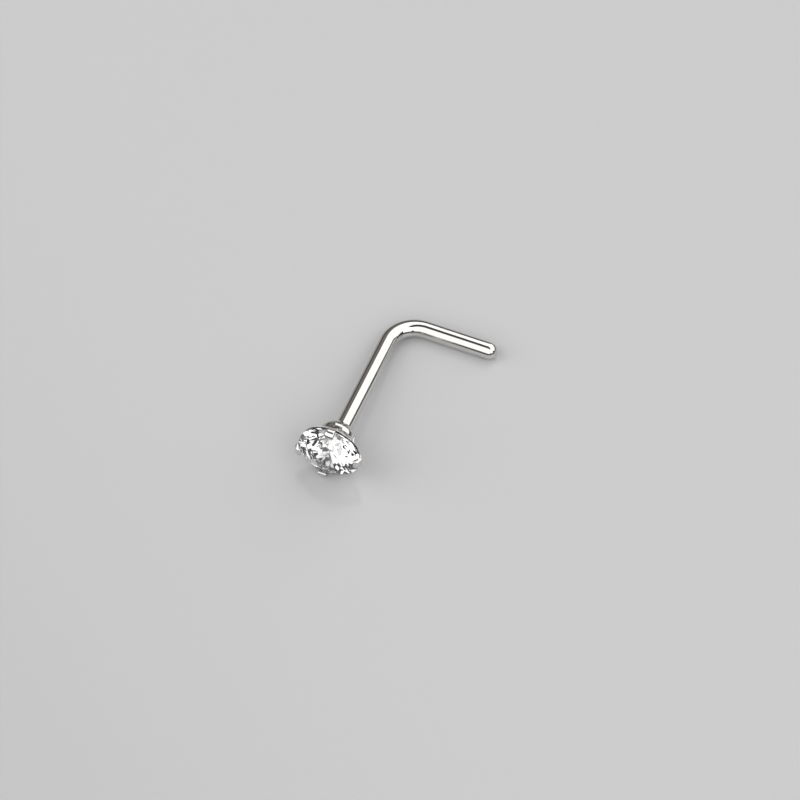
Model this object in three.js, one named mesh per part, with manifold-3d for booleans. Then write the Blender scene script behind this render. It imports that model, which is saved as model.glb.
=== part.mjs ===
// An L-bend nose stud: one round wire, bent at a right angle, with a claw setting on the end
// of its post and a round brilliant-cut stone in the claws.
//
// Millimetres. The stud lies as it rests on a table: the short leg along +X, the post along Y
// with the stone facing -Y, +Z up. The origin is under the middle of its box.
//
// Everything is first built on the post: the post's axis is the Y axis, the corner of the two
// wire axes is at the origin, and the stone's girdle is at Y = -POST_LENGTH. A "depth" is how
// far something lies behind the girdle, so it is negative in front of it.

import * as THREE from "three";
import { mergeVertices } from "three/addons/utils/BufferGeometryUtils.js";
import Module from "manifold-3d";

// Wire
const WIRE_RADIUS = 0.405;
const POST_LENGTH = 8.6;
const LEG_LENGTH = 4.93;
const BEND_RADIUS = 1.4;
const WIRE_SIDES = 20;
const WIRE_STEPS = 48;

// Stone, a round brilliant
const STONE_RADIUS = 1.5;
const TABLE_RADIUS = 0.86;
const GIRDLE_HALF = 0.03;
const STONE_GAP = 0.03;
const STONE_SIDES = 48;
const CROWN_ANGLES = { star: 21, bezel: 34.5, upperHalf: 40.5 };
const PAVILION_ANGLES = { main: 40.75, lowerHalf: 42 };

// Cup behind the stone: its outer line from the rim back to the post
const CUP_LINE = [
  { depth: 0.12, radius: 1.54 },
  { depth: 0.26, radius: 1.4 },
  { depth: 0.48, radius: 1.15 },
  { depth: 0.66, radius: 0.96 },
  { depth: 0.8, radius: 0.86 },
  { depth: 0.92, radius: 0.87 },
  { depth: 1.04, radius: 0.87 },
  { depth: 1.22, radius: 0.8 },
  { depth: 1.38, radius: 0.67 },
];
const SHOULDER_DEPTH = 1.45;
const CUP_SIDES = 48;
const WINDOW = { depth: 0.5, halfHeight: 0.2, halfWidth: 0.4, angles: [45, 135, 225, 315] };
const WINDOW_SIDES = 20;

// Claws: the width of each, and how far its outer face stands from the setting's axis
const CLAW_WIDTH = 0.42;
const CLAW_REACH = 1.62;

// Where each claw stands round the stone, in degrees anticlockwise from the leg's side as seen
// from the front, and how far it was set beside that mark, again anticlockwise
const CLAWS = [
  { angle: 0, aside: 0.1 },
  { angle: 90, aside: -0.03 },
  { angle: 180, aside: 0.36 },
  { angle: 270, aside: -0.18 },
];

// The setting and the stone stand this far to the side of the post's axis, away from the leg
const SETTING_ASIDE = 0.07;

const wasm = await Module();
wasm.setup();

function radians(degrees) {
  return (degrees * Math.PI) / 180;
}

function toManifold(geometry) {
  const bare = geometry.clone();
  bare.deleteAttribute("normal");
  bare.deleteAttribute("uv");
  const merged = mergeVertices(bare, 1e-5);
  const triVerts = Uint32Array.from(merged.index.array);
  const vertProperties = Float32Array.from(merged.attributes.position.array);
  return new wasm.Manifold(new wasm.Mesh({ numProp: 3, vertProperties, triVerts }));
}

function toGeometry(solid) {
  const mesh = solid.getMesh();
  const geometry = new THREE.BufferGeometry();
  geometry.setAttribute("position", new THREE.BufferAttribute(mesh.vertProperties, 3));
  geometry.setIndex(new THREE.BufferAttribute(mesh.triVerts, 1));
  const facets = geometry.toNonIndexed();
  facets.computeVertexNormals();
  return facets;
}

// ---------------------------------------------------------------- wire

function wirePath() {
  const path = new THREE.CurvePath();
  const corner = new THREE.Vector3(0, 0, 0);
  const postStart = new THREE.Vector3(0, SHOULDER_DEPTH - POST_LENGTH - 0.2, 0);
  const bendStart = new THREE.Vector3(0, -BEND_RADIUS, 0);
  const bendEnd = new THREE.Vector3(BEND_RADIUS, 0, 0);
  const legEnd = new THREE.Vector3(LEG_LENGTH - WIRE_RADIUS, 0, 0);
  path.add(new THREE.LineCurve3(postStart, bendStart));
  path.add(new QuarterBend(corner, BEND_RADIUS));
  path.add(new THREE.LineCurve3(bendEnd, legEnd));
  return path;
}

class QuarterBend extends THREE.Curve {
  constructor(corner, radius) {
    super();
    this.centre = new THREE.Vector3(corner.x + radius, corner.y - radius, corner.z);
    this.radius = radius;
  }

  getPoint(t, target = new THREE.Vector3()) {
    const turn = Math.PI - (t * Math.PI) / 2;
    const x = this.centre.x + this.radius * Math.cos(turn);
    const y = this.centre.y + this.radius * Math.sin(turn);
    return target.set(x, y, this.centre.z);
  }
}

function roundSection() {
  const section = new THREE.Shape();
  section.absarc(0, 0, WIRE_RADIUS, 0, 2 * Math.PI, false);
  return section;
}

function wire() {
  const tube = new THREE.ExtrudeGeometry(roundSection(), {
    extrudePath: wirePath(),
    steps: WIRE_STEPS,
    curveSegments: WIRE_SIDES,
  });
  const dome = new THREE.SphereGeometry(WIRE_RADIUS, WIRE_SIDES, WIRE_SIDES / 2);
  dome.rotateZ(Math.PI / 2);
  dome.translate(LEG_LENGTH - WIRE_RADIUS, 0, 0);
  return toManifold(tube).add(toManifold(dome));
}

// ---------------------------------------------------------------- stone

// Cuts a solid flat. The cut faces away from the post's axis at an angle round it, tilted
// towards the front by "slope" degrees from facing straight out of the table.
function facet(solid, angle, slope, front, distance) {
  const out = Math.sin(radians(slope));
  const along = Math.cos(radians(slope)) * (front ? -1 : 1);
  const normal = [-out * Math.cos(radians(angle)), -along, -out * Math.sin(radians(angle))];
  return solid.trimByPlane(normal, -(distance - along * POST_LENGTH));
}

// The stone, or with a gap the slightly larger shape that its seat is cut with.
function stone(gap) {
  const halfStep = Math.cos(radians(11.25));
  const slopeOf = (degrees) => Math.tan(radians(degrees));
  const tableDepth = GIRDLE_HALF + (STONE_RADIUS - TABLE_RADIUS) * slopeOf(CROWN_ANGLES.bezel);
  const reach = (radius, level, slope) =>
    radius * Math.sin(radians(slope)) + level * Math.cos(radians(slope)) + gap;

  const height = 4 * STONE_RADIUS;
  const blank = new THREE.CylinderGeometry(
    STONE_RADIUS + gap, STONE_RADIUS + gap, height, STONE_SIDES);
  blank.translate(0, -POST_LENGTH, 0);
  let gem = toManifold(blank);
  gem = facet(gem, 0, 0, true, tableDepth + gap);
  for (let k = 0; k < 8; k += 1) {
    const { star, bezel, upperHalf } = CROWN_ANGLES;
    const { main, lowerHalf } = PAVILION_ANGLES;
    const starReach = reach(TABLE_RADIUS * Math.cos(radians(22.5)), tableDepth, star);
    gem = facet(gem, 45 * k + 22.5, star, true, starReach);
    gem = facet(gem, 45 * k, bezel, true, reach(STONE_RADIUS, GIRDLE_HALF, bezel));
    gem = facet(gem, 45 * k, main, false, reach(STONE_RADIUS, GIRDLE_HALF, main));
    for (const side of [11.25, 33.75]) {
      const upperReach = reach(STONE_RADIUS * halfStep, GIRDLE_HALF, upperHalf);
      const lowerReach = reach(STONE_RADIUS * halfStep, GIRDLE_HALF, lowerHalf);
      gem = facet(gem, 45 * k + side, upperHalf, true, upperReach);
      gem = facet(gem, 45 * k + side, lowerHalf, false, lowerReach);
    }
  }
  return gem;
}

// ---------------------------------------------------------------- setting

function cup() {
  const profile = CUP_LINE.map((p) => new THREE.Vector2(p.radius, p.depth - POST_LENGTH));
  const rim = CUP_LINE[0].depth - POST_LENGTH;
  const shoulder = SHOULDER_DEPTH - POST_LENGTH;
  const shoulderRadius = CUP_LINE[CUP_LINE.length - 1].radius - 0.04;
  profile.unshift(new THREE.Vector2(0, rim));
  profile.push(new THREE.Vector2(shoulderRadius, shoulder));
  profile.push(new THREE.Vector2(0, shoulder));
  return toManifold(new THREE.LatheGeometry(profile, CUP_SIDES));
}

// An oval hole through the cup's wall, between two claws.
function windowCutter(angle) {
  const oval = new THREE.Shape();
  oval.absellipse(0, 0, WINDOW.halfWidth, WINDOW.halfHeight, 0, 2 * Math.PI, false, 0);
  const cutter = new THREE.ExtrudeGeometry(oval, {
    depth: STONE_RADIUS,
    curveSegments: WINDOW_SIDES / 2,
    bevelEnabled: false,
  });
  cutter.translate(0, WINDOW.depth - POST_LENGTH, 0.5);
  cutter.rotateY(radians(90 - angle));
  return toManifold(cutter);
}

// A claw's side view: x is the distance from the post's axis, y the place along it.
function clawOutline() {
  const at = (radius, depth) => [radius, depth - POST_LENGTH];
  const outline = new THREE.Shape();
  outline.moveTo(...at(0.7, 1.3));
  outline.lineTo(...at(0.88, 1.04));
  outline.lineTo(...at(0.88, 0.9));
  outline.quadraticCurveTo(...at(0.98, 0.7), ...at(1.32, 0.36));
  outline.quadraticCurveTo(...at(CLAW_REACH, 0.08), ...at(CLAW_REACH, -0.06));
  outline.quadraticCurveTo(...at(CLAW_REACH, -0.26), ...at(1.46, -0.34));
  outline.quadraticCurveTo(...at(1.36, -0.39), ...at(1.3, -0.34));
  outline.quadraticCurveTo(...at(1.25, -0.28), ...at(1.28, -0.12));
  outline.lineTo(...at(1.28, 0.16));
  outline.lineTo(...at(0.5, 1.0));
  outline.closePath();
  return outline;
}

function claw({ angle, aside }) {
  const plate = new THREE.ExtrudeGeometry(clawOutline(), {
    depth: CLAW_WIDTH,
    curveSegments: 6,
    bevelEnabled: false,
  });
  plate.translate(0, 0, aside - CLAW_WIDTH / 2);
  plate.rotateY(-radians(angle));
  return toManifold(plate);
}

function setting() {
  let metal = cup();
  for (const angle of WINDOW.angles) {
    metal = metal.subtract(windowCutter(angle));
  }
  for (const place of CLAWS) {
    metal = metal.add(claw(place));
  }
  return metal;
}

// ---------------------------------------------------------------- assembly

function piece(name, solid, color, roughness, metalness) {
  const material = new THREE.MeshStandardMaterial({ color, roughness, metalness });
  const mesh = new THREE.Mesh(toGeometry(solid), material);
  mesh.name = name;
  return mesh;
}

// The setting is soldered on a little to one side of the post's axis, away from the leg.
function movedAside(solid) {
  return solid.translate([-SETTING_ASIDE, 0, 0]);
}

// The angle by which the post climbs to the head when leg and lowest claw both touch the table.
function restAngle() {
  const span = Math.hypot(CLAW_REACH, POST_LENGTH);
  return Math.atan2(CLAW_REACH, POST_LENGTH) - Math.asin(WIRE_RADIUS / span);
}

const metalwork = wire().add(movedAside(setting())).subtract(movedAside(stone(STONE_GAP)));
const stud = new THREE.Group();
stud.add(piece("wire_and_setting", metalwork, 0xc9c7c3, 0.12, 1.0));
stud.add(piece("stone", movedAside(stone(0)), 0xf4f6fa, 0.02, 0.0));
stud.rotation.x = -restAngle();
stud.updateMatrixWorld(true);

const box = new THREE.Box3().setFromObject(stud, true);
const middle = box.getCenter(new THREE.Vector3());
stud.position.set(-middle.x, -middle.y, -box.min.z);

const group = new THREE.Group();
group.add(stud);

export default group;
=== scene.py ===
"""Looks of an L-bend nose stud: a polished wire, a claw setting and a round brilliant stone.

Every sub-assembly is first made in millimetres on the post: the post's axis is the Y axis, the
corner of the wire's two axes is at the origin and the stone faces -Y. A depth is how far
something lies behind the stone's girdle. The finished meshes are then laid on the table and
brought to metres, where the fixed frame has them.
"""

import logging
import math
from dataclasses import dataclass, field
from enum import Enum

import bmesh
import bpy
from mathutils import Matrix, Vector

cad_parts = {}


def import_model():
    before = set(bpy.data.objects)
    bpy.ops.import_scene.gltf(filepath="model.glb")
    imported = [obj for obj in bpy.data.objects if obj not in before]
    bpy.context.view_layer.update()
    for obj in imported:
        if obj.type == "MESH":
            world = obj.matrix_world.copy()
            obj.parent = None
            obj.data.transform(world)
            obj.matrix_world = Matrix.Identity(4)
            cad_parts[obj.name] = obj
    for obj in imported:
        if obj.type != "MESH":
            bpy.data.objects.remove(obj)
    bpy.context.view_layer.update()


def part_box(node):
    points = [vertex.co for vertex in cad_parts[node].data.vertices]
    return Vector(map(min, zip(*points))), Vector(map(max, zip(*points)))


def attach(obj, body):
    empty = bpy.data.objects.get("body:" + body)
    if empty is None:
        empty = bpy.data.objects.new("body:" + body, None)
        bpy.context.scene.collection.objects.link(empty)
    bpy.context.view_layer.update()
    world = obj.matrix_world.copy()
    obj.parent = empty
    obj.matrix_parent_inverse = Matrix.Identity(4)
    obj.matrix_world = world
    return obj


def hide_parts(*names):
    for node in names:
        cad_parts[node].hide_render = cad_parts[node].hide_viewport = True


MM = 0.001
log = logging.getLogger("nose_stud")


class Side(Enum):
    """Which half of the stone a facet belongs to."""

    CROWN = -1
    PAVILION = 1


class Work(Enum):
    """What a tool does to the solid that it is put to."""

    CUT_AWAY = "DIFFERENCE"
    JOIN = "UNION"


# ------------------------------------------------------------------ finishes


def new_material(name: str) -> tuple[bpy.types.Material, bpy.types.ShaderNode]:
    """Makes an empty node material.

    Args:
        name: The material's name.

    Returns:
        The material and its Principled shader.
    """
    material = bpy.data.materials.new(name)
    material.use_nodes = True
    return material, material.node_tree.nodes["Principled BSDF"]


@dataclass(frozen=True)
class PolishedSteel:
    """Surgical steel buffed to a mirror, with a faint haze and hairlines from the wheel."""

    name: str = "polished_steel"
    color: tuple[float, ...] = (0.67, 0.655, 0.635, 1.0)
    haze_scale: float = 900.0
    haze_range: tuple[float, float] = (0.35, 0.75)
    smooth: float = 0.05
    hazed: float = 0.125
    hairline_scale: float = 9000.0
    hairline_stretch: tuple[float, ...] = (1.0, 0.06, 1.0)
    hairline_height: float = 0.01 * MM
    hairline_depth: float = 0.05
    wave_scale: float = 1400.0
    wave_height: float = 0.1 * MM
    wave_depth: float = 0.035

    def build(self) -> bpy.types.Material:
        """Makes the material.

        Returns:
            The finished material.
        """
        material, shader = new_material(self.name)
        nodes = material.node_tree.nodes
        links = material.node_tree.links
        shader.inputs["Base Color"].default_value = self.color
        shader.inputs["Metallic"].default_value = 1.0

        place = nodes.new("ShaderNodeTexCoord")
        haze = nodes.new("ShaderNodeTexNoise")
        haze.inputs["Scale"].default_value = self.haze_scale
        haze.inputs["Detail"].default_value = 4.0
        links.new(place.outputs["Object"], haze.inputs["Vector"])
        shine = nodes.new("ShaderNodeMapRange")
        shine.inputs["From Min"].default_value = self.haze_range[0]
        shine.inputs["From Max"].default_value = self.haze_range[1]
        shine.inputs["To Min"].default_value = self.smooth
        shine.inputs["To Max"].default_value = self.hazed
        links.new(haze.outputs["Fac"], shine.inputs["Value"])
        links.new(shine.outputs["Result"], shader.inputs["Roughness"])

        stretch = nodes.new("ShaderNodeMapping")
        stretch.inputs["Scale"].default_value = self.hairline_stretch
        links.new(place.outputs["Object"], stretch.inputs["Vector"])
        hairlines = nodes.new("ShaderNodeTexNoise")
        hairlines.inputs["Scale"].default_value = self.hairline_scale
        hairlines.inputs["Detail"].default_value = 2.0
        links.new(stretch.outputs["Vector"], hairlines.inputs["Vector"])
        fine = nodes.new("ShaderNodeBump")
        fine.inputs["Strength"].default_value = self.hairline_depth
        fine.inputs["Distance"].default_value = self.hairline_height
        links.new(hairlines.outputs["Fac"], fine.inputs["Height"])

        waves = nodes.new("ShaderNodeTexNoise")
        waves.inputs["Scale"].default_value = self.wave_scale
        waves.inputs["Detail"].default_value = 1.0
        links.new(place.outputs["Object"], waves.inputs["Vector"])
        soft = nodes.new("ShaderNodeBump")
        soft.inputs["Strength"].default_value = self.wave_depth
        soft.inputs["Distance"].default_value = self.wave_height
        links.new(waves.outputs["Fac"], soft.inputs["Height"])
        links.new(fine.outputs["Normal"], soft.inputs["Normal"])
        links.new(soft.outputs["Normal"], shader.inputs["Normal"])
        return material


@dataclass(frozen=True)
class ClearStone:
    """Colourless cubic zirconia with polished facets."""

    name: str = "clear_stone"
    color: tuple[float, ...] = (0.985, 0.99, 1.0, 1.0)
    index: float = 2.17
    smooth: float = 0.0
    handled: float = 0.012
    film_scale: float = 1300.0
    film_range: tuple[float, float] = (0.5, 0.8)

    def build(self) -> bpy.types.Material:
        """Makes the material.

        Returns:
            The finished material.
        """
        material, shader = new_material(self.name)
        nodes = material.node_tree.nodes
        links = material.node_tree.links
        shader.inputs["Base Color"].default_value = self.color
        shader.inputs["IOR"].default_value = self.index
        shader.inputs["Transmission Weight"].default_value = 1.0
        place = nodes.new("ShaderNodeTexCoord")
        film = nodes.new("ShaderNodeTexNoise")
        film.inputs["Scale"].default_value = self.film_scale
        links.new(place.outputs["Object"], film.inputs["Vector"])
        shine = nodes.new("ShaderNodeMapRange")
        shine.inputs["From Min"].default_value = self.film_range[0]
        shine.inputs["From Max"].default_value = self.film_range[1]
        shine.inputs["To Min"].default_value = self.smooth
        shine.inputs["To Max"].default_value = self.handled
        links.new(film.outputs["Fac"], shine.inputs["Value"])
        links.new(shine.outputs["Result"], shader.inputs["Roughness"])
        return material


@dataclass(frozen=True)
class PaleTable:
    """A plain pale table with a satin sheen."""

    name: str = "pale_table"
    color: tuple[float, ...] = (0.4, 0.4, 0.404, 1.0)
    roughness: float = 0.16

    def build(self) -> bpy.types.Material:
        """Makes the material.

        Returns:
            The finished material.
        """
        material, shader = new_material(self.name)
        shader.inputs["Base Color"].default_value = self.color
        shader.inputs["Roughness"].default_value = self.roughness
        return material


# ------------------------------------------------------------------ mesh helpers


def link_mesh(name: str, mesh: bpy.types.Mesh) -> bpy.types.Object:
    """Puts a mesh into the scene as an object at the origin.

    Args:
        name: The object's name.
        mesh: The mesh.

    Returns:
        The new object.
    """
    made = bpy.data.objects.new(name, mesh)
    bpy.context.scene.collection.objects.link(made)
    return made


def link_bmesh(name: str, shape: bmesh.types.BMesh) -> bpy.types.Object:
    """Turns a bmesh into an object and frees it.

    Args:
        name: The object's name.
        shape: The shape, which is freed.

    Returns:
        The new object.
    """
    bmesh.ops.recalc_face_normals(shape, faces=shape.faces)
    mesh = bpy.data.meshes.new(name)
    shape.to_mesh(mesh)
    shape.free()
    return link_mesh(name, mesh)


def applied(source: bpy.types.Object, name: str) -> bpy.types.Object:
    """Applies an object's modifiers and removes the object.

    Args:
        source: The object with the modifiers, which is removed.
        name: The name of the plain object that takes its place.

    Returns:
        An object with a plain mesh.
    """
    graph = bpy.context.evaluated_depsgraph_get()
    mesh = bpy.data.meshes.new_from_object(source.evaluated_get(graph), depsgraph=graph)
    bpy.data.objects.remove(source)
    mesh.name = name
    return link_mesh(name, mesh)


def shaped(body: bpy.types.Object, tool: bpy.types.Object, work: Work) -> bpy.types.Object:
    """Joins a body with a tool, or cuts it by the tool, and removes the tool.

    Args:
        body: The solid that is changed.
        tool: The solid that it is changed by.
        work: Whether the tool is cut away or joined on.

    Returns:
        The changed solid, under the body's name.
    """
    name = body.name
    step = body.modifiers.new("shaped", "BOOLEAN")
    step.operation = work.value
    step.solver = "EXACT"
    step.object = tool
    result = applied(body, name + "_shaped")
    bpy.data.objects.remove(tool)
    result.name = name
    return result


def set_inputs(piece: bpy.types.Object, tree: bpy.types.GeometryNodeTree, values: dict) -> None:
    """Gives a piece a Geometry Nodes modifier and sets its inputs by their identifiers.

    Args:
        piece: The object that the nodes work on.
        tree: The node tree.
        values: Each named input's value.
    """
    step = piece.modifiers.new(tree.name, "NODES")
    step.node_group = tree
    for item in tree.interface.items_tree:
        if item.item_type == "SOCKET" and item.in_out == "INPUT" and item.name in values:
            step[item.identifier] = values[item.name]


def polar(radius: float, along: float, angle: float) -> Vector:
    """A point at a radius round the post's axis, at a place along it and an angle in degrees."""
    turn = math.radians(angle)
    return Vector((radius * math.cos(turn), along, radius * math.sin(turn)))


# ------------------------------------------------------------------ where it lies


@dataclass
class Resting:
    """How the stud lies on the table, worked out from the frame's own box."""

    wire_radius: float = 0.405
    post_length: float = 8.6
    leg_length: float = 4.93
    claw_reach: float = 1.62
    placement: Matrix = field(default_factory=Matrix)

    def measure(self, node: str) -> None:
        """Works out the move from the post's own place to the table.

        Args:
            node: The frame's node for the metalwork, whose box shows where the leg lies.
        """
        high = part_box(node)[1] / MM
        span = math.hypot(self.claw_reach, self.post_length)
        climb = math.atan2(self.claw_reach, self.post_length) - math.asin(self.wire_radius / span)
        corner = Vector((high.x - self.leg_length, high.y - self.wire_radius, self.wire_radius))
        lay = Matrix.Translation(corner) @ Matrix.Rotation(-climb, 4, "X")
        self.placement = Matrix.Scale(MM, 4) @ lay

    def settle(self, piece: bpy.types.Object) -> None:
        """Lays a piece on the table and brings it to metres, in its mesh."""
        piece.data.transform(self.placement)
        piece.data.update()


# ------------------------------------------------------------------ wire


@dataclass
class BentWire:
    """The round wire: a straight post, a right-angle bend and a short leg with a domed tip."""

    resting: Resting
    steel: bpy.types.Material
    bend_radius: float = 1.4
    start_depth: float = 1.28
    straight_step: float = 0.4
    bend_points: int = 40
    dome_points: int = 16
    dome_end: float = 0.004
    sides: int = 72

    def stations(self) -> list[tuple[Vector, float]]:
        """Works out the wire's centre line.

        Returns:
            Points along the centre line, each with the share of the full radius there.
        """
        lay = self.resting
        radius = lay.wire_radius
        start = self.start_depth - lay.post_length
        stops: list[tuple[Vector, float]] = []
        straight = -self.bend_radius - start
        count = round(straight / self.straight_step)
        for k in range(count):
            stops.append((Vector((0, start + straight * k / count, 0)), 1.0))
        for k in range(self.bend_points + 1):
            turn = math.pi - math.pi / 2 * k / self.bend_points
            x = self.bend_radius * (1 + math.cos(turn))
            y = self.bend_radius * (math.sin(turn) - 1)
            stops.append((Vector((x, y, 0)), 1.0))
        dome_start = lay.leg_length - radius
        straight = dome_start - self.bend_radius
        count = round(straight / self.straight_step)
        for k in range(1, count + 1):
            stops.append((Vector((self.bend_radius + straight * k / count, 0, 0)), 1.0))
        for k in range(1, self.dome_points + 1):
            turn = math.pi / 2 * k / self.dome_points
            share = max(math.cos(turn), self.dome_end)
            stops.append((Vector((dome_start + radius * math.sin(turn), 0, 0)), share))
        return stops

    def sweep_tree(self) -> bpy.types.GeometryNodeTree:
        """Builds the nodes that sweep a round section along an edge path.

        Returns:
            The node tree, with inputs for the wire's radius, its sides and its finish.
        """
        tree = bpy.data.node_groups.new("wire_sweep", "GeometryNodeTree")
        face = tree.interface
        face.new_socket("Geometry", in_out="INPUT", socket_type="NodeSocketGeometry")
        face.new_socket("Wire Radius", in_out="INPUT", socket_type="NodeSocketFloat")
        face.new_socket("Sides", in_out="INPUT", socket_type="NodeSocketInt")
        face.new_socket("Finish", in_out="INPUT", socket_type="NodeSocketMaterial")
        face.new_socket("Geometry", in_out="OUTPUT", socket_type="NodeSocketGeometry")
        nodes, links = tree.nodes, tree.links
        given = nodes.new("NodeGroupInput")
        result = nodes.new("NodeGroupOutput")
        path = nodes.new("GeometryNodeMeshToCurve")
        share = nodes.new("GeometryNodeInputNamedAttribute")
        share.data_type = "FLOAT"
        share.inputs["Name"].default_value = "share"
        radius = nodes.new("ShaderNodeMath")
        radius.operation = "MULTIPLY"
        section = nodes.new("GeometryNodeCurvePrimitiveCircle")
        section.inputs["Radius"].default_value = 1.0
        sweep = nodes.new("GeometryNodeCurveToMesh")
        sweep.inputs["Fill Caps"].default_value = True
        shade = nodes.new("GeometryNodeSetShadeSmooth")
        realize = nodes.new("GeometryNodeRealizeInstances")
        finish = nodes.new("GeometryNodeSetMaterial")
        links.new(given.outputs["Geometry"], path.inputs["Mesh"])
        links.new(share.outputs["Attribute"], radius.inputs[0])
        links.new(given.outputs["Wire Radius"], radius.inputs[1])
        links.new(given.outputs["Sides"], section.inputs["Resolution"])
        links.new(path.outputs["Curve"], sweep.inputs["Curve"])
        links.new(section.outputs["Curve"], sweep.inputs["Profile Curve"])
        links.new(radius.outputs["Value"], sweep.inputs["Scale"])
        links.new(sweep.outputs["Mesh"], shade.inputs["Geometry"])
        links.new(shade.outputs["Geometry"], realize.inputs["Geometry"])
        links.new(realize.outputs["Geometry"], finish.inputs["Geometry"])
        links.new(given.outputs["Finish"], finish.inputs["Material"])
        links.new(finish.outputs["Geometry"], result.inputs["Geometry"])
        return tree

    def build(self) -> bpy.types.Object:
        """Makes the wire.

        Returns:
            The finished piece.
        """
        stops = self.stations()
        mesh = bpy.data.meshes.new("wire_path")
        edges = [(k, k + 1) for k in range(len(stops) - 1)]
        mesh.from_pydata([place for place, _ in stops], edges, [])
        share = mesh.attributes.new("share", "FLOAT", "POINT")
        share.data.foreach_set("value", [part for _, part in stops])
        path = link_mesh("wire_path", mesh)
        set_inputs(path, self.sweep_tree(), {
            "Wire Radius": self.resting.wire_radius,
            "Sides": self.sides,
            "Finish": self.steel,
        })
        wire = applied(path, "bent_wire")
        attribute = wire.data.attributes.get("share")
        if attribute:
            wire.data.attributes.remove(attribute)
        return wire


# ------------------------------------------------------------------ stone


@dataclass
class BrilliantStone:
    """A round brilliant, cut from a round blank one flat facet at a time."""

    resting: Resting
    finish: bpy.types.Material
    aside: float = 0.07
    radius: float = 1.5
    table_radius: float = 0.86
    girdle_half: float = 0.03
    star: float = 21.0
    bezel: float = 34.5
    upper_half: float = 40.5
    main: float = 40.75
    lower_half: float = 42.0
    sides: int = 128

    def facet(self, gem: bmesh.types.BMesh, angle: float, slope: float, side: Side,
              reach: float) -> None:
        """Cuts one facet.

        Args:
            gem: The stone so far.
            angle: Degrees round the post's axis that the facet faces.
            slope: Degrees that it is tipped from facing straight along the axis.
            side: Whether it is on the crown or the pavilion.
            reach: The facet's distance from the middle of the girdle.
        """
        outward = polar(math.sin(math.radians(slope)), 0, angle)
        outward.y = side.value * math.cos(math.radians(slope))
        bmesh.ops.bisect_plane(
            gem, geom=gem.verts[:] + gem.edges[:] + gem.faces[:], dist=1e-6,
            plane_co=outward * reach, plane_no=outward, clear_outer=True)
        rim = [edge for edge in gem.edges if edge.is_boundary]
        if rim:
            bmesh.ops.contextual_create(gem, geom=rim)

    def shape(self, gap: float) -> bmesh.types.BMesh:
        """Cuts the stone, or with a gap the larger shape that its seat is cut with.

        Args:
            gap: How far every facet is moved outwards.

        Returns:
            The closed shape, with its girdle at the origin.
        """
        gem = bmesh.new()
        bmesh.ops.create_cone(
            gem, cap_ends=True, segments=self.sides, radius1=self.radius + gap,
            radius2=self.radius + gap, depth=3 * self.radius)
        bmesh.ops.rotate(gem, verts=gem.verts, matrix=Matrix.Rotation(math.pi / 2, 3, "X"))
        rise = (self.radius - self.table_radius) * math.tan(math.radians(self.bezel))
        table = self.girdle_half + rise
        between = math.cos(math.radians(11.25))

        def reach(radius: float, level: float, slope: float) -> float:
            """A facet's distance from the girdle's middle, through a point on its edge."""
            turn = math.radians(slope)
            return radius * math.sin(turn) + level * math.cos(turn) + gap

        self.facet(gem, 0, 0, Side.CROWN, table + gap)
        for k in range(8):
            for part in (11.25, 33.75):
                edge = self.radius * between
                self.facet(gem, 45 * k + part, self.upper_half, Side.CROWN,
                           reach(edge, self.girdle_half, self.upper_half))
                self.facet(gem, 45 * k + part, self.lower_half, Side.PAVILION,
                           reach(edge, self.girdle_half, self.lower_half))
            self.facet(gem, 45 * k, self.bezel, Side.CROWN,
                       reach(self.radius, self.girdle_half, self.bezel))
            self.facet(gem, 45 * k, self.main, Side.PAVILION,
                       reach(self.radius, self.girdle_half, self.main))
            self.facet(gem, 45 * k + 22.5, self.star, Side.CROWN,
                       reach(self.table_radius * math.cos(math.radians(22.5)), table, self.star))
        bmesh.ops.translate(gem, verts=gem.verts,
                            vec=(-self.aside, -self.resting.post_length, 0))
        return gem

    def build(self) -> bpy.types.Object:
        """Makes the stone.

        Returns:
            The finished piece.
        """
        stone = link_bmesh("brilliant_stone", self.shape(0.0))
        stone.data.materials.append(self.finish)
        return stone


# ------------------------------------------------------------------ setting


@dataclass(frozen=True)
class Claw:
    """Where one claw stands: degrees round the stone, and how far it was set beside that."""

    angle: float
    aside: float


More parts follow.
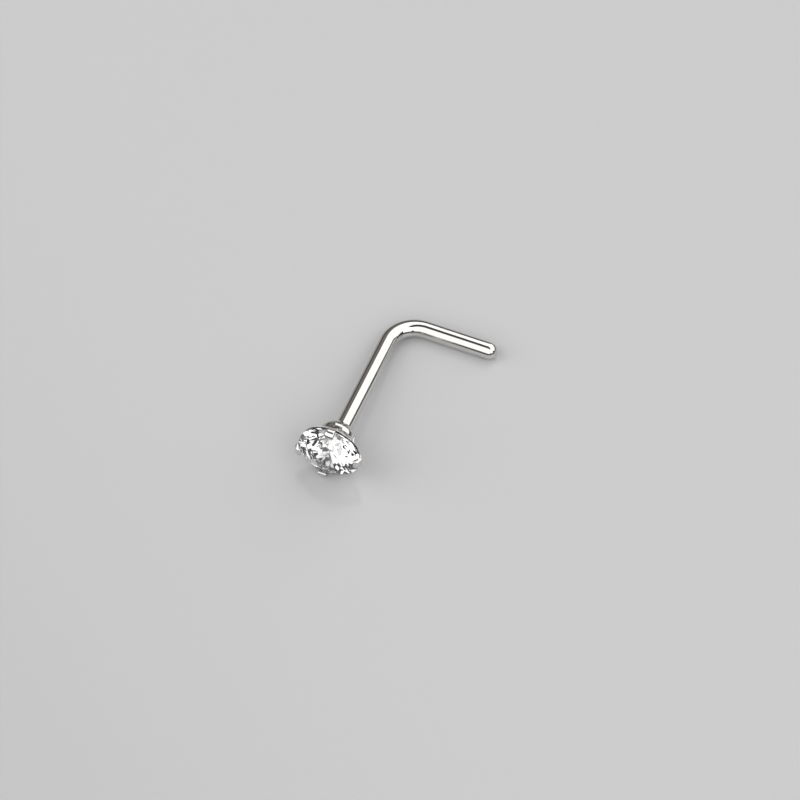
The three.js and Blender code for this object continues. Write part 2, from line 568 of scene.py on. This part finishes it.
@dataclass
class ClawSetting:
    """A cup with four windows behind the stone, and four claws pushed over its edge.

    The cup's line is pairs of depth and radius, from its rim to its back. A window's two halves
    are its width round the stone and its height along the post.
    """

    resting: Resting
    stone: BrilliantStone
    steel: bpy.types.Material
    cup_line: tuple[tuple[float, float], ...] = (
        (0.16, 1.50), (0.26, 1.40), (0.48, 1.15), (0.66, 0.96), (0.80, 0.86), (0.92, 0.87),
        (1.04, 0.87), (1.22, 0.80), (1.38, 0.67), (1.45, 0.60))
    window_depth: float = 0.5
    window_half: tuple[float, float] = (0.40, 0.20)
    window_angles: tuple[int, ...] = (45, 135, 225, 315)
    window_sides: int = 48
    plug_middle: float = 1.1
    plug_length: float = 1.2
    seat_gap: float = 0.03
    claw_width: float = 0.42
    claws: tuple[Claw, ...] = (
        Claw(0, 0.1), Claw(90, -0.03), Claw(180, 0.36), Claw(270, -0.18))
    claw_curve_points: int = 8
    claw_soft: float = 0.05
    claw_soft_steps: int = 4
    claw_soft_corner: float = 50.0
    cup_sides: int = 96
    grain: float = 0.022
    melt_rounds: int = 7

    def cup(self) -> bpy.types.Object:
        """Turns the cup's outer line round the post's axis.

        Returns:
            The solid cup, before its seat and windows are cut.
        """
        shape = bmesh.new()
        back = -self.resting.post_length
        line = [Vector((0, back + self.cup_line[0][0], 0))]
        line += [Vector((radius, back + depth, 0)) for depth, radius in self.cup_line]
        line.append(Vector((0, back + self.cup_line[-1][0], 0)))
        points = [shape.verts.new(place) for place in line]
        edges = [shape.edges.new(pair) for pair in zip(points, points[1:])]
        bmesh.ops.spin(shape, geom=points + edges, axis=(0, 1, 0), cent=(0, 0, 0),
                       angle=2 * math.pi, steps=self.cup_sides)
        bmesh.ops.remove_doubles(shape, verts=shape.verts, dist=1e-4)
        return link_bmesh("cup", shape)

    def window(self, angle: float) -> bpy.types.Object:
        """Makes the oval plug that cuts one window.

        Args:
            angle: Degrees round the stone.

        Returns:
            The plug.
        """
        shape = bmesh.new()
        bmesh.ops.create_cone(
            shape, cap_ends=True, segments=self.window_sides, radius1=1, radius2=1,
            depth=self.plug_length)
        wide, high = self.window_half
        stretch = Matrix.Diagonal((wide, high, 1.0, 1.0))
        along = self.window_depth - self.resting.post_length
        move = Matrix.Translation((0, along, self.plug_middle))
        turn = Matrix.Rotation(math.radians(90 - angle), 4, "Y")
        shape.transform(turn @ move @ stretch)
        return link_bmesh("window", shape)

    def claw_outline(self) -> list[Vector]:
        """A claw's side view.

        Returns:
            The outline's points: x is the distance from the post's axis, y the place along it.
        """
        reach = self.resting.claw_reach
        back = -self.resting.post_length
        start = ((0.70, 1.30), (0.88, 1.04), (0.88, 0.90))
        bends = (
            ((0.98, 0.70), (1.32, 0.36)), ((reach, 0.08), (reach, -0.06)),
            ((reach, -0.26), (1.46, -0.34)), ((1.36, -0.39), (1.30, -0.34)),
            ((1.25, -0.28), (1.28, -0.12)))
        outline = [Vector((radius, back + depth, 0)) for radius, depth in start]
        for guide, end in bends:
            first = outline[-1].copy()
            middle = Vector((guide[0], back + guide[1], 0))
            last = Vector((end[0], back + end[1], 0))
            for k in range(1, self.claw_curve_points + 1):
                t = k / self.claw_curve_points
                outline.append(first * (1 - t) ** 2 + middle * 2 * t * (1 - t) + last * t * t)
        outline.append(Vector((1.28, back + 0.16, 0)))
        outline.append(Vector((0.50, back + 1.0, 0)))
        return outline

    def claw_blank(self) -> bpy.types.Object:
        """Makes one claw with rounded edges, standing at angle 0.

        Returns:
            The claw.
        """
        shape = bmesh.new()
        half = self.claw_width / 2
        face = shape.faces.new([
            shape.verts.new(place + Vector((0, 0, -half))) for place in self.claw_outline()])
        wall = bmesh.ops.extrude_face_region(shape, geom=[face])
        far = [item for item in wall["geom"] if isinstance(item, bmesh.types.BMVert)]
        bmesh.ops.translate(shape, verts=far, vec=(0, 0, self.claw_width))
        blank = link_bmesh("claw_blank", shape)
        soften = blank.modifiers.new("soften", "BEVEL")
        soften.width = self.claw_soft
        soften.segments = self.claw_soft_steps
        soften.limit_method = "ANGLE"
        soften.angle_limit = math.radians(self.claw_soft_corner)
        return applied(blank, "claw_blank")

    def ring_tree(self) -> bpy.types.GeometryNodeTree:
        """Builds the nodes that stand a claw at each marked place.

        Returns:
            The node tree, with inputs for the claw and the metal's finish.
        """
        tree = bpy.data.node_groups.new("claw_ring", "GeometryNodeTree")
        face = tree.interface
        face.new_socket("Geometry", in_out="INPUT", socket_type="NodeSocketGeometry")
        face.new_socket("Claw", in_out="INPUT", socket_type="NodeSocketObject")
        face.new_socket("Finish", in_out="INPUT", socket_type="NodeSocketMaterial")
        face.new_socket("Geometry", in_out="OUTPUT", socket_type="NodeSocketGeometry")
        nodes, links = tree.nodes, tree.links
        given = nodes.new("NodeGroupInput")
        result = nodes.new("NodeGroupOutput")
        claw = nodes.new("GeometryNodeObjectInfo")
        turn = nodes.new("GeometryNodeInputNamedAttribute")
        turn.data_type = "FLOAT_VECTOR"
        turn.inputs["Name"].default_value = "turn"
        stand = nodes.new("GeometryNodeInstanceOnPoints")
        realize = nodes.new("GeometryNodeRealizeInstances")
        finish = nodes.new("GeometryNodeSetMaterial")
        links.new(given.outputs["Claw"], claw.inputs["Object"])
        links.new(given.outputs["Geometry"], stand.inputs["Points"])
        links.new(claw.outputs["Geometry"], stand.inputs["Instance"])
        links.new(turn.outputs["Attribute"], stand.inputs["Rotation"])
        links.new(stand.outputs["Instances"], realize.inputs["Geometry"])
        links.new(realize.outputs["Geometry"], finish.inputs["Geometry"])
        links.new(given.outputs["Finish"], finish.inputs["Material"])
        links.new(finish.outputs["Geometry"], result.inputs["Geometry"])
        return tree

    def claw_ring(self) -> bpy.types.Object:
        """Stands all the claws round the stone.

        Returns:
            One object with every claw.
        """
        blank = self.claw_blank()
        marks = bpy.data.meshes.new("claw_marks")
        places = []
        turns: list[float] = []
        for claw in self.claws:
            turn = math.radians(claw.angle)
            places.append(Vector((-math.sin(turn), 0, math.cos(turn))) * claw.aside)
            turns += [0.0, -turn, 0.0]
        marks.from_pydata(places, [], [])
        stored = marks.attributes.new("turn", "FLOAT_VECTOR", "POINT")
        stored.data.foreach_set("vector", turns)
        ring = link_mesh("claw_marks", marks)
        set_inputs(ring, self.ring_tree(), {"Claw": blank, "Finish": self.steel})
        ring = applied(ring, "claw_ring")
        bpy.data.objects.remove(blank)
        return ring

    def melt(self, metal: bpy.types.Object) -> bpy.types.Object:
        """Runs cup and claws together as cast metal does, with soft inner corners.

        Args:
            metal: The cup and the claws.

        Returns:
            One closed skin.
        """
        skin = metal.modifiers.new("skin", "REMESH")
        skin.mode = "VOXEL"
        skin.voxel_size = self.grain
        smooth = metal.modifiers.new("smooth", "SMOOTH")
        smooth.factor = 0.5
        smooth.iterations = self.melt_rounds
        return applied(metal, "claw_setting")

    def build(self) -> bpy.types.Object:
        """Makes the setting.

        Returns:
            The finished piece.
        """
        metal = self.cup()
        for angle in self.window_angles:
            metal = shaped(metal, self.window(angle), Work.CUT_AWAY)
        metal = shaped(metal, self.claw_ring(), Work.JOIN)
        metal.data.transform(Matrix.Translation((-self.stone.aside, 0, 0)))
        seat = link_bmesh("seat", self.stone.shape(self.seat_gap))
        metal = shaped(metal, seat, Work.CUT_AWAY)
        setting = self.melt(metal)
        setting.data.materials.clear()
        setting.data.materials.append(self.steel)
        setting.data.polygons.foreach_set("use_smooth", [True] * len(setting.data.polygons))
        return setting


# ------------------------------------------------------------------ studio


@dataclass(frozen=True)
class Softbox:
    """A square area light: compass angle, height angle and distance from the stud, in metres."""

    name: str
    angle: float
    height: float
    distance: float
    size: tuple[float, float]
    power: float
    color: tuple[float, ...] = (1.0, 1.0, 1.0)

    def build(self, aim: Vector) -> None:
        """Hangs the light, facing the stud.

        Args:
            aim: The point that it faces.
        """
        light = bpy.data.lights.new(self.name, "AREA")
        light.shape = "RECTANGLE"
        light.size, light.size_y = self.size
        light.energy = self.power
        light.color = self.color
        lamp = bpy.data.objects.new(self.name, light)
        lamp.location = aim + offset(self.angle, self.height, self.distance)
        lamp.rotation_euler = (aim - lamp.location).to_track_quat("-Z", "Y").to_euler()
        bpy.context.scene.collection.objects.link(lamp)


def offset(angle: float, height: float, distance: float) -> Vector:
    """Works out a way from the stud.

    Args:
        angle: Degrees round the stud: 0 is its -Y side and 90 its +X side.
        height: Degrees above level.
        distance: How far, in metres.

    Returns:
        The way from the stud to that place.
    """
    turn, climb = math.radians(angle), math.radians(height)
    level = distance * math.cos(climb)
    return Vector((level * math.sin(turn), -level * math.cos(turn), distance * math.sin(climb)))


@dataclass
class Studio:
    """The pale table, the soft light and the camera."""

    aim: Vector = field(default_factory=lambda: Vector((-0.054, 0.555, 0.0)) * MM)
    camera_angle: float = 21.4
    camera_height: float = 58.0
    lens: float = 300.0
    sensor: float = 36.0
    frame_width: float = 37.12 * MM
    table_size: float = 3.0
    surround: tuple[float, ...] = (0.075, 0.074, 0.073, 1.0)
    softboxes: tuple[Softbox, ...] = (
        Softbox("back_right_box", 144, 45, 0.6, (1.15, 0.74), 3.9),
        Softbox("front_box", 349, 49, 0.7, (1.3, 0.9), 5.3),
        Softbox("back_left_box", 228, 40, 0.8, (0.8, 0.8), 0.3, (1.0, 0.9, 0.8)),
        Softbox("front_right_box", 62, 40, 0.6, (0.4, 0.55), 1.3),
        Softbox("front_left_box", 288, 34, 0.6, (0.45, 0.6), 1.9),
    )

    def camera(self) -> None:
        """Sets up the camera over the stud."""
        lens = bpy.data.cameras.new("camera")
        lens.lens = self.lens
        lens.sensor_width = self.sensor
        lens.clip_start = 1 * MM
        distance = self.frame_width * self.lens / self.sensor
        eye = bpy.data.objects.new("camera", lens)
        eye.location = self.aim + offset(self.camera_angle, self.camera_height, distance)
        eye.rotation_euler = (self.aim - eye.location).to_track_quat("-Z", "Y").to_euler()
        bpy.context.scene.collection.objects.link(eye)
        bpy.context.scene.camera = eye

    def table(self) -> None:
        """Lays the table under the stud."""
        shape = bmesh.new()
        bmesh.ops.create_grid(shape, x_segments=1, y_segments=1, size=self.table_size / 2)
        top = link_bmesh("table_top", shape)
        top.data.materials.append(PaleTable().build())

    def surroundings(self) -> None:
        """Sets the dim room round the lights, and the plain way of showing tones."""
        world = bpy.data.worlds.new("room")
        world.use_nodes = True
        world.node_tree.nodes["Background"].inputs["Color"].default_value = self.surround
        bpy.context.scene.world = world
        bpy.context.scene.view_settings.view_transform = "Standard"

    def build(self) -> None:
        """Sets up camera, table and light."""
        self.camera()
        self.table()
        self.surroundings()
        for box in self.softboxes:
            box.build(self.aim)


# ------------------------------------------------------------------ main


def hand_over(piece: bpy.types.Object, resting: Resting, node: str) -> None:
    """Lays a piece in place, ties it to the frame and reports it.

    Args:
        piece: The finished piece, still in millimetres.
        resting: How the stud lies.
        node: The frame's node that the piece stands for.
    """
    resting.settle(piece)
    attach(piece, "root")
    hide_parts(node)
    log.info("%s: %d faces", piece.name, len(piece.data.polygons))


def main() -> None:
    """Builds the stud and its studio."""
    logging.basicConfig(level=logging.INFO, format="%(name)s: %(message)s")
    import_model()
    Studio().build()
    resting = Resting()
    resting.measure("wire_and_setting")
    steel = PolishedSteel().build()
    stone = BrilliantStone(resting, ClearStone().build())
    wire = BentWire(resting, steel)
    setting = ClawSetting(resting, stone, steel)
    hand_over(wire.build(), resting, "wire_and_setting")
    hand_over(setting.build(), resting, "wire_and_setting")
    hand_over(stone.build(), resting, "stone")
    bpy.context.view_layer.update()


if __name__ == "__main__":
    main()
